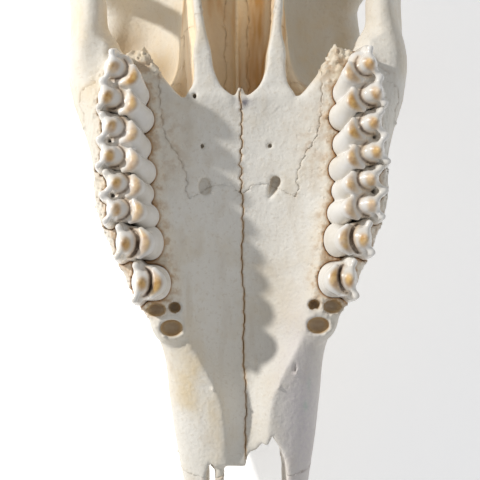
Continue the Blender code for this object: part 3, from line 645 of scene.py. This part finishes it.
def bones(points, margin):
    """For each bone: its name, the rows of the points in it, and how far they are inside its seams."""
    rows = np.arange(len(points))
    inside = np.full(len(points), -FAR)
    middle = median_cut(points)
    for name, region, paired, _ in BONES:
        if region is None:
            found = sides(name, rows, inside, middle, paired)
        else:
            cut = region(points[rows])
            found = sides(name, rows, np.maximum(inside, cut + SEAM_GAP), middle, paired)
            inside = np.maximum(inside, SEAM_GAP - cut)
        for bone, where, depth in found:
            keep = depth < margin
            yield bone, where[keep], depth[keep]
        keep = inside < margin
        rows, inside = rows[keep], inside[keep]


CORNERS = [(i >> 2 & 1, i >> 1 & 1, i & 1) for i in range(8)]     # of a cell


def one_sheet():
    """For each of the 256 ways to fill the corners of a cell: whether one single sheet crosses it."""
    beside = [[j for j in range(8) if sum(a != b for a, b in zip(c, CORNERS[j])) == 1] for c in CORNERS]
    good = np.ones(256, bool)
    for case in range(256):
        for side in (0, 1):
            group = [i for i in range(8) if (case >> i & 1) == side]
            reached = set(group[:1])
            for _ in range(8):
                reached |= {j for i in reached for j in beside[i] if j in group}
            good[case] &= len(reached) == len(group)
    return good


def settle(value):
    """Fills the few cells that two sheets would cross, so that the mesh closes cleanly."""
    good = one_sheet()
    windows = [tuple(slice(s, n - 1 + s) for s, n in zip(corner, value.shape)) for corner in CORNERS]
    for _ in range(30):
        case = np.zeros([n - 1 for n in value.shape], int)
        for i, window in enumerate(windows):
            case |= (value[window] < 0).astype(int) << i
        bad = ~good[case]
        if not bad.any():
            break
        for window in windows:
            value[window][bad] = np.minimum(value[window][bad], -0.02)
    return value


def field_at(field, points):
    """Field values at points, worked out for a limited number of them at a time."""
    value = np.empty(len(points))
    for part in np.array_split(np.arange(len(points)), max(1, len(points) // POINTS_AT_ONCE)):
        value[part] = field(points[part])
    return value


def split(index, ratio):
    """The small blocks in each block of a grid."""
    return (index[:, None] * ratio + grid_of(ratio, ratio, ratio)).reshape(-1, 3)


def blocks_near(field, low, cell, index, size, margin):
    """Field values at the middles of blocks of grid points, and which blocks the surface may cross."""
    middle = field_at(field, low + cell * (index * size + (size - 1) / 2))
    return middle, np.abs(middle) < 1.3 * size * cell + margin


def grid_of(*counts):
    """All index triples of a grid of these counts."""
    return np.stack(np.meshgrid(*[np.arange(n) for n in counts], indexing="ij"), -1).reshape(-1, 3)


def sample(field, low, high, cell):
    """Field values on a grid, worked out in ever finer blocks where the surface may cross."""
    big, small = 8, 2
    counts = [int(math.ceil((b - a) / cell / big)) for a, b in zip(low, high)]
    index = grid_of(*counts)
    middle, near = blocks_near(field, low, cell, index, big, 1)
    value = middle.reshape(counts).astype(np.float32)
    for axis in range(3):
        value = np.repeat(value, big, axis)
    index = split(index[near], big // small)
    middle, near = blocks_near(field, low, cell, index, small, 0.4)
    for step in grid_of(small, small, small):
        value[tuple((index * small + step).T)] = middle
    cells = split(index[near], small)
    value[tuple(cells.T)] = field_at(field, low + cell * cells)
    return value


def surface(value, low, cell):
    """Mesh of the zero level of a grid: one vertex in each cell that it crosses."""
    value = settle(value)
    shape = np.array(value.shape)
    inside = value < 0
    cells, places, rings = [], [], []
    for axis in range(3):
        u, v = (axis + 1) % 3, (axis + 2) % 3
        first, last = [slice(None)] * 3, [slice(None)] * 3
        first[axis], last[axis] = slice(0, -1), slice(1, None)
        edges = np.argwhere(inside[tuple(first)] != inside[tuple(last)])
        ends = edges.copy()
        ends[:, axis] += 1
        a, b = value[tuple(edges.T)].astype(float), value[tuple(ends.T)].astype(float)
        place = edges.astype(float)
        place[:, axis] += a / (a - b)
        ring = []
        for du, dv in ((0, 0), (-1, 0), (-1, -1), (0, -1)):
            cell_index = edges.copy()
            cell_index[:, u] += du
            cell_index[:, v] += dv
            ring.append(np.ravel_multi_index(tuple(cell_index.T), shape))
            cells.append(ring[-1])
            places.append(place)
        ring = np.stack(ring, 1)
        rings.append(np.where((a < 0)[:, None], ring, ring[:, ::-1]))
    cells, places = np.concatenate(cells), np.concatenate(places)
    used, order = np.unique(cells, return_inverse=True)
    order = order.ravel()
    share = np.bincount(order).astype(float)
    points = np.stack([np.bincount(order, places[:, i]) / share for i in range(3)], 1)
    quads = np.searchsorted(used, np.concatenate(rings))
    return low + cell * points, quads


def normals_of(points, quads):
    """Unit normals at the corners of a mesh of quads."""
    a, b, c, d = (points[quads[:, i]] for i in range(4))
    across = np.cross(c - a, d - b)
    corners = quads.ravel()
    total = np.stack([np.bincount(corners, np.repeat(row, 4), len(points)) for row in across.T], 1)
    return total / (np.linalg.norm(total, axis=1)[:, None] + 1e-9)


def look_up(value, low, cell, points):
    """Grid values nearest to some points."""
    index = np.rint((points - low) / cell).astype(int)
    index = np.clip(index, 0, np.array(value.shape) - 1)
    return value[tuple(index.T)]


def tilted(y, z):
    """A direction of the head frame in the frame of the CAD model, which is turned about X."""
    return y * math.cos(TILT) - z * math.sin(TILT), y * math.sin(TILT) + z * math.cos(TILT)


def to_rest(points):
    """Points of the head frame, in millimetres, in the frame of the CAD model, in metres."""
    x, y, z = np.asarray(points, float).T
    along, up = tilted(y, z)
    return np.stack([x, along - REST_SHIFT, np.maximum(up + REST_LEVEL, 0)], 1) * MM


def put(name, data):
    """A new object in the scene."""
    thing = bpy.data.objects.new(name, data)
    bpy.context.scene.collection.objects.link(thing)
    return thing


def piece(name, points, quads, marks, material, node):
    """A bone or tooth as an object that rides on the skull, with marks that its material reads."""
    mesh = bpy.data.meshes.new(name)
    mesh.vertices.add(len(points))
    mesh.vertices.foreach_set("co", to_rest(points).astype(np.float32).ravel())
    mesh.loops.add(quads.size)
    mesh.loops.foreach_set("vertex_index", quads.astype(np.int32).ravel())
    mesh.polygons.add(len(quads))
    mesh.polygons.foreach_set("loop_start", np.arange(0, quads.size, 4, dtype=np.int32))
    mesh.polygons.foreach_set("use_smooth", np.ones(len(quads), bool))
    mesh.update(calc_edges=True)
    for mark, values in marks.items():
        attribute = mesh.attributes.new(mark, "FLOAT", "POINT")
        attribute.data.foreach_set("value", np.asarray(values, np.float32))
    mesh.materials.append(material)
    thing = put(name, mesh)
    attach(thing, "root")
    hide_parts(node)


def largest_part(points, quads):
    """The mesh without its loose scraps."""
    label = np.arange(len(points))
    while True:
        low = label[quads].min(1)
        new = label.copy()
        np.minimum.at(new, quads.ravel(), np.repeat(low, 4))
        new = new[new]
        if (new == label).all():
            break
        label = new
    labels, counts = np.unique(label, return_counts=True)
    keep = label == labels[counts.argmax()]
    order = np.cumsum(keep) - 1
    return points[keep], order[quads[keep[quads[:, 0]]]]


def near_teeth(points):
    """How far points are from the nearest tooth, on either side."""
    q = mirrored(points)
    x, y, z = q.T
    return only(q, (x > 10) & (x < 46) & (y > 56) & (y < 140) & (z > -12), all_teeth)


def from_socket(x, y, row):
    """How far out of a socket of the second premolar, where 1 is its rim."""
    sx, sy, across, along = row
    return np.hypot((x - sx) / across, (y - sy) / along)


def bone_field(points):
    """The bones, with the sockets of the teeth let into them and the rough rim of the tooth row."""
    x, y, z = mirrored(points).T
    across = points[:, 0]
    bone = bare_skull(points)
    teeth = near_teeth(points)
    coarse = np.sin(x * 3.1 + y * 1.3 + z) * np.sin(y * 2.9 - x * 1.7) * np.sin(z * 2.3 + x * 1.1)
    tuber = smooth_step(y, 123, 127) * smooth_step(y, 137, 134)
    bone = bone - 0.55 * (tuber * smooth_step(z, -9, -5) * (x > 13)) * coarse
    for row in SOCKETS:
        rim = np.exp(-((from_socket(x, y, row) - 1.25) / 0.25) ** 2)
        bone = bone - 0.3 * (1 + coarse) * rim * (z > -4)
    lump = 0.16 * np.sin(across * 4.1 + y * 2.3) * np.sin(y * 3.7 - across * 1.9)
    lump = lump * np.exp(-(np.maximum(teeth, 0) / 2.6) ** 2)
    collar = 0.22 * smooth_step(x, 31, 27) * np.exp(-((teeth - 0.9) / 0.7) ** 2)
    under_floor = -(tilted(y, z)[1] + REST_LEVEL)
    return np.maximum(carved(bone + lump - collar, (teeth - 0.05, 0.2)), under_floor)


# Patches of another colour on the bone, some real stains and some painted shade and shadow: middle, reach
# along each axis, strength.
STAINS_AND_PAINTED_SHADE = {
    "yellow": [
        ((-13.5, 47, -4), (4, 8, 8), 1), ((-41, 134, -18), (3, 12, 10), 0.8),
        ((-36, 120, -12), (5, 9, 8), 0.6), ((40, 136, -20), (3, 10, 10), 0.4),
        *[((x, 129, -3), (7, 6, 5), 0.9) for x in (-24, 24)],
        # painted shade in the spaces behind the palate, on both sides
        *[((x, 138, -48), (12, 14, 14), 0.9) for x in (-24, 24)],
        ((-8, 40, -4), (2.5, 14, 6), 0.6), ((0, 175, -20), (20, 30, 14), 0.5),
    ],
    # painted shadow in the spaces behind the palate, on the left side
    "brown": [((-30, 141, -45), (6, 5, 30), 0.9), ((-21, 132, -50), (5, 8, 32), 0.8)],
    # painted shade, grey-violet, on the right side of the snout
    "violet": [((14, 38, -6), (6, 26, 14), 0.9)],
    "slate": [((1, 117.9, -5), (1.9, 1.3, 9), 1)],
    "green": [((15.1, 40.9, -6), (0.6, 1.2, 4), 0.8), ((16, 46.5, -6), (0.5, 1.8, 4), 0.5)],
}


def stain(points, rows):
    """How strongly the patches of one colour show at each point."""
    depth = np.zeros(len(points))
    for place, spread, share in rows:
        away = (points - place) / spread
        depth = np.maximum(depth, share * np.exp(-(away * away).sum(1)))
    return depth


def hollow_shade_amount(points, normals, value):
    """How closed in the bone is at each point, which sets how much painted shade it gets: 0 where it is open
    in front, 1 in a narrow gap.
    """
    near = np.clip(look_up(value, LOW, CELL, points + normals * 0.9) / 0.9, 0.3, 1.3)
    hollow = np.zeros(len(points))
    for reach, share in ((2.5, 0.35), (6, 0.65)):
        seen = look_up(value, LOW, CELL, points + normals * reach) / (reach * near)
        hollow += share * np.clip(1.0 - seen, 0, 1)
    return hollow


def bone_marks(points, normals, seam, value):
    """What the bone's material reads at each corner of a mesh."""
    x, y, z = mirrored(points).T
    teeth = near_teeth(points)
    plain = (x > 3.5) & (x < 13) & (y > 90) & (y < 100) & (z > -9)
    row = smooth_step(teeth, 4.5, 0.8) * smooth_step(z, -6, -2) * (y < 134) * smooth_step(x, 38, 34)
    pitted = 0.6 * np.exp(-((x - 17.5) / 3.5) ** 2 - ((y - 107) / 9) ** 2) * (z > -8)
    tuber = smooth_step(y, 121, 126) * smooth_step(z, -5, -2) * (x > 16) * (y < 136)
    # Empty sockets of the second premolar: a tan lining, strongest on their walls as painted shade and faint
    # on their pale floors.
    socket = np.zeros(len(points))
    for place in SOCKETS:
        away = from_socket(x, y, place)
        wall = smooth_step(away, 1.12, 0.9) * (0.15 + 0.85 * smooth_step(away, 0.45, 0.95))
        socket = np.maximum(socket, wall * smooth_step(z, -0.8, -2) * (z > -8))
    median = np.exp(-(np.abs(median_cut(points)) / 0.24) ** 2) * smooth_step(y, 122, 119) * (z > -14)
    inner = smooth_step(y, 117, 123) * smooth_step(z, -7, -13) * smooth_step(z, -50, -40)
    return {
        "seam": np.exp(seam / 0.22) * np.where(plain, 0.1, 1),
        "median": median * smooth_step(y, 25, 30),
        **{name: stain(points, rows) for name, rows in STAINS_AND_PAINTED_SHADE.items()},
        "socket": socket,
        "gum": np.exp(-(np.maximum(teeth - 0.15, 0) / 0.25)) * smooth_step(x, 33, 29),
        # painted shade, stronger where the bone is closed in
        "hollow": hollow_shade_amount(points, normals, value),
        "porous": np.maximum(np.maximum(row, tuber), pitted),
        "cave": inner * smooth_step(x, 30, 22),
    }


def tooth_marks(points, name, bone_level):
    """What the enamel reads: worn dentine, dark pits and the line at the gum."""
    q = mirrored(points)
    flat, z = q[:, :2], q[:, 2]
    dentine, pit = np.zeros(len(q)), np.zeros(len(q))
    for buccal, lingual, half in TEETH[name]:
        crest, way, side, _ = cusp_places(buccal, lingual)
        off = flat - (np.array(buccal) + np.array([0.1, -0.5]))
        outer = np.hypot(off @ way, (off @ side) / 1.5)
        off = flat - crest
        inner = np.hypot(off @ way + 0.16 * (off @ side) ** 2, (off @ side) / (2.1 * (half / HALF_LOBE)))
        tips = smooth_step(z, CROWN - 3.4, CROWN - 1.6) * smooth_step(outer, 1.7, 0.5)
        crests_worn = smooth_step(z, CROWN - 4.4, CROWN - 2.8) * smooth_step(inner, 1.7, 0.5)
        arc = crescent(buccal, lingual, half)
        line = strut(q, [(x, y, 5) for x, y in arc], pit_widths(half), (1, 1, 40))
        pit = np.maximum(pit, smooth_step(line, 0.22, -0.1) * (z > 1))
        beside_pit = 0.45 * smooth_step(line, 0.9, 0.1) * (z > 3)
        dentine = np.maximum.reduce([dentine, tips, crests_worn, beside_pit])
    return {
        "dentine": dentine,
        "pit": pit,
        "gum": smooth_step(bone_level, 0.55, 0.12),
        "height": np.clip(z / CROWN, 0, 1),
    }


def to_edge(points, seam, value):
    """Lifts the corners at the seams back to the surface of the skull, so that the seams stay thin."""
    field = look_up(value, LOW, CELL, points)
    slope = np.stack([
        look_up(value, LOW, CELL, points + step) - look_up(value, LOW, CELL, points - step)
        for step in np.eye(3) * CELL
    ], 1)
    slope /= np.linalg.norm(slope, axis=1)[:, None] + 1e-9
    low = (seam > -0.8 * CELL) & (field < 0) & (field > -0.7 * CELL)
    return points - np.where(low, field, 0)[:, None] * slope


def make_bones(material):
    """Every bone, cut out of one grid of the whole skull."""
    value = sample(bone_field, LOW, HIGH, CELL)
    reach = 1.6 * CELL
    index = np.argwhere(value < reach)
    points = LOW + CELL * index
    nodes = {name: node for name, _, _, node in BONES}
    for name, rows, depth in bones(points, reach):
        kind = name.replace("_left", "").replace("_right", "")
        node = nodes[kind]
        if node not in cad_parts:
            node += name[len(kind):]
        where = index[rows]
        low, high = where.min(0) - 2, where.max(0) + 3
        part = np.full(high - low, FAR, np.float32)
        part[tuple((where - low).T)] = np.maximum(value[tuple(where.T)], depth)
        mesh_points, quads = largest_part(*surface(part, LOW + CELL * low, CELL))
        seam = np.full(len(mesh_points), FAR)
        for other, found, deep in bones(mesh_points, 2):
            if other == name:
                seam[found] = deep
        seam = np.minimum(seam, 0)
        mesh_points = to_edge(mesh_points, seam, value)
        marks = bone_marks(mesh_points, normals_of(mesh_points, quads), seam, value)
        piece(name + "_bone", mesh_points, quads, marks, material, node)


def make_teeth(material):
    """Five cheek teeth on the right side, and their mirror images on the left."""
    for name, lobes in TEETH.items():
        places = np.array([place for part in lobes for place in part[:2]])
        low = np.array([*(places.min(0) - (5, 7.5)), -8])
        high = np.array([*(places.max(0) + (6, 7.5)), CROWN + 2.5])
        value = sample(lambda q: tooth_field(q, name), low, high, TOOTH_CELL)
        points, quads = largest_part(*surface(value, low, TOOTH_CELL))
        level = bare_skull(points)
        for side, sign in (("right", 1), ("left", -1)):
            place = points * np.array([sign, 1, 1])
            faces = quads if sign > 0 else quads[:, ::-1]
            marks = tooth_marks(place, name, level)
            piece(name + "_" + side, place, faces, marks, material, "maxilla_" + side)


class Look:
    """A short way to write a node material."""

    def __init__(self, name):
        self.material = bpy.data.materials.new(name)
        self.material.use_nodes = True
        self.tree = self.material.node_tree
        self.shader = self.tree.nodes["Principled BSDF"]

    def node(self, kind, output, settings=(), **attributes):
        """An output of a new node, with some of its inputs set to numbers or linked to outputs."""
        made = self.tree.nodes.new("ShaderNode" + kind)
        for key, given in attributes.items():
            setattr(made, key, given)
        for key, given in dict(settings).items():
            self.give(made.inputs[key], given)
        return made.outputs[output]

    def give(self, socket, given):
        if isinstance(given, (int, float)):
            socket.default_value = given
        elif isinstance(given, tuple):
            socket.default_value = given if len(given) == len(socket.default_value) else (*given, 1.0)
        else:
            self.tree.links.new(given, socket)

    def mark(self, name):
        """A mark that the mesh carries at its corners."""
        return self.node("Attribute", "Fac", attribute_name=name)

    def place(self, stretch):
        where = self.node("TexCoord", "Object")
        return self.node("Mapping", "Vector", {"Scale": stretch, "Vector": where})

    def noise(self, scale, detail, stretch=(1, 1, 1), roughness=0.55):
        settings = {"Scale": scale, "Detail": detail, "Roughness": roughness, "Vector": self.place(stretch)}
        return self.node("TexNoise", "Fac", settings)

    def cells(self, scale):
        return self.node("TexVoronoi", "Distance", {"Scale": scale, "Vector": self.place((1, 1, 1))})

    def span(self, source, low, high, to_low=0, to_high=1):
        """The source, with low to high spread over another range and held at its ends."""
        settings = {"From Min": low, "From Max": high, "To Min": to_low, "To Max": to_high, "Value": source}
        return self.node("MapRange", "Result", settings)

    def times(self, a, b):
        return self.node("Math", "Value", {0: a, 1: b}, operation="MULTIPLY")

    def mix(self, share, a, b):
        """Colour a with a share of colour b over it."""
        return self.node("Mix", 2, {0: share, 6: a, 7: b}, data_type="RGBA")

    def paint(self, share, tint):
        """Lays a colour over the one so far."""
        self.colour = self.mix(share, self.colour, tint)

    def stain(self, mark, share, tint):
        """Lays a colour where the mesh carries a mark."""
        self.paint(self.times(self.mark(mark), share), tint)

    def bump(self, height, strength, distance, under=None):
        settings = {"Strength": strength, "Distance": distance, "Height": height}
        if under is not None:
            settings["Normal"] = under
        return self.node("Bump", "Normal", settings)

    def finish(self, **settings):
        """Sets the shader and gives the material."""
        self.give(self.shader.inputs["Base Color"], self.colour)
        for key, given in settings.items():
            self.give(self.shader.inputs[key.replace("_", " ")], given)
        return self.material


def bone_look():
    """Dry, weathered bone with stains, pores and dark seams, with painted shade in its hollows, in its
    sockets and on the right of the snout, and painted shadow behind the palate.
    """
    look = Look("dry_bone")
    cloud = look.noise(26, 3)
    patch = look.noise(75, 4, roughness=0.65)
    streak = look.noise(260, 4, (1, 0.14, 1))
    grain = look.noise(1100, 3)
    look.colour = look.mix(look.span(cloud, 0.36, 0.66), (0.81, 0.785, 0.725), (0.7, 0.66, 0.575))
    for texture, low, high, most, tint in (
        (patch, 0.5, 0.68, 0.5, (0.7, 0.61, 0.46)),
        (streak, 0.52, 0.74, 0.45, (0.6, 0.52, 0.41)),
        (grain, 0.56, 0.7, 0.35, (0.58, 0.5, 0.39)),
    ):
        look.paint(look.span(texture, low, high, 0, most), tint)
    # Yellow patches: stains, and painted shade in the spaces behind the palate.
    look.stain("yellow", look.span(patch, 0.36, 0.6, 0.15, 0.85), (0.74, 0.58, 0.33))
    speckled = look.span(grain, 0.36, 0.6, 0.55, 0.95)
    # The grey-violet tint is painted shade on the right side of the snout; slate and green are small spots
    # of colour.
    for name, tint in (
        ("violet", (0.66, 0.61, 0.63)), ("slate", (0.15, 0.14, 0.17)), ("green", (0.42, 0.56, 0.47)),
    ):
        look.stain(name, speckled, tint)
    # Painted shade: the bone turns brown where it is closed in.
    hollow = look.span(look.mark("hollow"), 0.34, 0.95, 0, 0.62)
    look.paint(look.times(hollow, look.span(cloud, 0.3, 0.7, 0.6, 1)), (0.52, 0.41, 0.28))
    stripe = look.noise(170, 3, (1, 0.1, 0.35))
    warm = look.mix(look.span(stripe, 0.5, 0.64), (0.93, 0.76, 0.52), (0.7, 0.43, 0.18))
    look.stain("cave", look.span(stripe, 0.35, 0.65, 0.65, 1), warm)
    # Painted shadow, dark brown, in the spaces behind the palate on the left side.
    look.paint(look.mark("brown"), (0.36, 0.25, 0.13))
    porous = look.mark("porous")
    sponge = look.noise(420, 3)
    rough = look.mix(look.span(sponge, 0.42, 0.6), (0.8, 0.7, 0.55), (0.58, 0.44, 0.3))
    look.paint(look.times(porous, look.span(sponge, 0.35, 0.6, 0.35, 1)), rough)
    # Lining of the empty sockets: tan bone colour, with painted shade where it lies strongest on the walls.
    socket_tan_and_shade = look.mix(look.span(sponge, 0.4, 0.6), (0.88, 0.72, 0.46), (0.64, 0.43, 0.2))
    look.stain("socket", 0.9, socket_tan_and_shade)
    broken = look.span(look.noise(130, 2), 0.4, 0.62, 0.05, 1)
    look.stain("seam", look.times(broken, 0.45), (0.36, 0.22, 0.1))
    uneven = look.span(look.noise(90, 2), 0.32, 0.55, 0.45, 0.95)
    look.stain("median", uneven, (0.52, 0.32, 0.13))
    look.stain("gum", 0.75, (0.54, 0.28, 0.09))
    pores = look.times(look.span(look.cells(620), 0.05, 0.32), look.span(porous, 0, 1, 0.22, 1))
    normal = look.bump(pores, 0.5, 0.0004)
    for texture, strength, distance in ((patch, 0.6, 0.0012), (streak, 0.5, 0.0005), (grain, 0.4, 0.0003)):
        normal = look.bump(texture, strength, distance, normal)
    return look.finish(Roughness=0.55, Specular_IOR_Level=0.35, Normal=normal)


def enamel_look():
    """Glossy enamel with worn brown dentine, dark pits and a stained line at the bone."""
    look = Look("enamel")
    cloud = look.noise(170, 3)
    fine = look.noise(700, 4, (1, 1, 0.3))
    look.colour = look.mix(look.span(cloud, 0.4, 0.65), (0.84, 0.82, 0.785), (0.77, 0.73, 0.66))
    look.paint(look.span(look.mark("height"), 0.9, 0.1, 0, 0.25), (0.76, 0.68, 0.55))
    dentine = look.mix(look.span(fine, 0.4, 0.62), (0.7, 0.45, 0.17), (0.5, 0.27, 0.08))
    look.stain("dentine", look.span(cloud, 0.34, 0.6, 0.6, 1), dentine)
    look.stain("pit", look.span(look.noise(330, 2), 0.36, 0.58, 0.3, 0.9), (0.16, 0.1, 0.06))
    look.stain("gum", 0.7, (0.56, 0.31, 0.11))
    gloss = look.span(look.mark("dentine"), 0, 1, 0.24, 0.45)
    normal = look.bump(fine, 0.12, 0.0002)
    return look.finish(Roughness=gloss, Specular_IOR_Level=0.5, Normal=normal)


def floor_look():
    """Plain pale floor, which glows a little so that it stays near white."""
    look = Look("pale_floor")
    cloud = look.span(look.noise(6, 2), 0.3, 0.7)
    look.colour = look.mix(cloud, (0.95, 0.95, 0.955), (0.94, 0.94, 0.945))
    return look.finish(Roughness=0.8, Emission_Color=(1, 1, 1), Emission_Strength=0.38)


def turn_to(eye, target, up):
    """Matrix of a camera or lamp that looks from one point to another."""
    back = (Vector(eye) - Vector(target)).normalized()
    right = Vector(up).cross(back).normalized()
    high = back.cross(right)
    made = Matrix((right, high, back)).transposed().to_4x4()
    made.translation = Vector(eye)
    return made


def head_way(x, y, z):
    """A direction of the head frame, as a vector in the frame of the CAD model."""
    return Vector((x, *tilted(y, z)))


# Lamps: name, direction from the skull in the head frame, distance, size, power, colour.
LAMPS = [
    ("key", (-0.77, 0.42, 0.41), 1, 0.05, 8.2, (1, 0.975, 0.94)),
    ("fill", (0.6, -0.3, 0.8), 1.2, 0.9, 0.7, (0.95, 0.97, 1)),
]
FLOOR_HALF = 1.6
LAMP_TARGET = Vector((0, 0, 0.05))
EYE, TARGET = (-15, 73, 400), (-0.9, 83, 0)     # of the camera, in the head frame
CAMERA_ROLL = math.radians(1)


def stage():
    """Floor, studio light and the camera of the photo."""
    mesh = bpy.data.meshes.new("floor")
    half = FLOOR_HALF
    corners = [(-half, -half, 0), (half, -half, 0), (half, half, 0), (-half, half, 0)]
    mesh.from_pydata(corners, [], [range(4)])
    mesh.materials.append(floor_look())
    put("floor", mesh)

    scene = bpy.context.scene
    world = scene.world = bpy.data.worlds.new("studio")
    world.use_nodes = True
    back = world.node_tree.nodes["Background"]
    back.inputs["Color"].default_value = (0.965, 0.975, 1, 1)
    back.inputs["Strength"].default_value = 0.4

    for name, way, far, size, power, colour in LAMPS:
        lamp = bpy.data.lights.new(name, "AREA")
        lamp.shape, lamp.size, lamp.energy, lamp.color = "DISK", size, power, colour
        eye = LAMP_TARGET + head_way(*way).normalized() * far
        put(name, lamp).matrix_world = turn_to(eye, LAMP_TARGET, (0.1, 0.2, 1))

    camera = bpy.data.cameras.new("camera")
    camera.sensor_width, camera.lens, camera.clip_start = 36, 120, 0.01
    eye, target = to_rest([EYE, TARGET])
    viewer = put("camera", camera)
    viewer.matrix_world = turn_to(eye, target, head_way(math.sin(CAMERA_ROLL), 1, 0))
    scene.camera = viewer
    scene.view_settings.view_transform = "Standard"


make_bones(bone_look())
make_teeth(enamel_look())
stage()

bpy.context.view_layer.update()
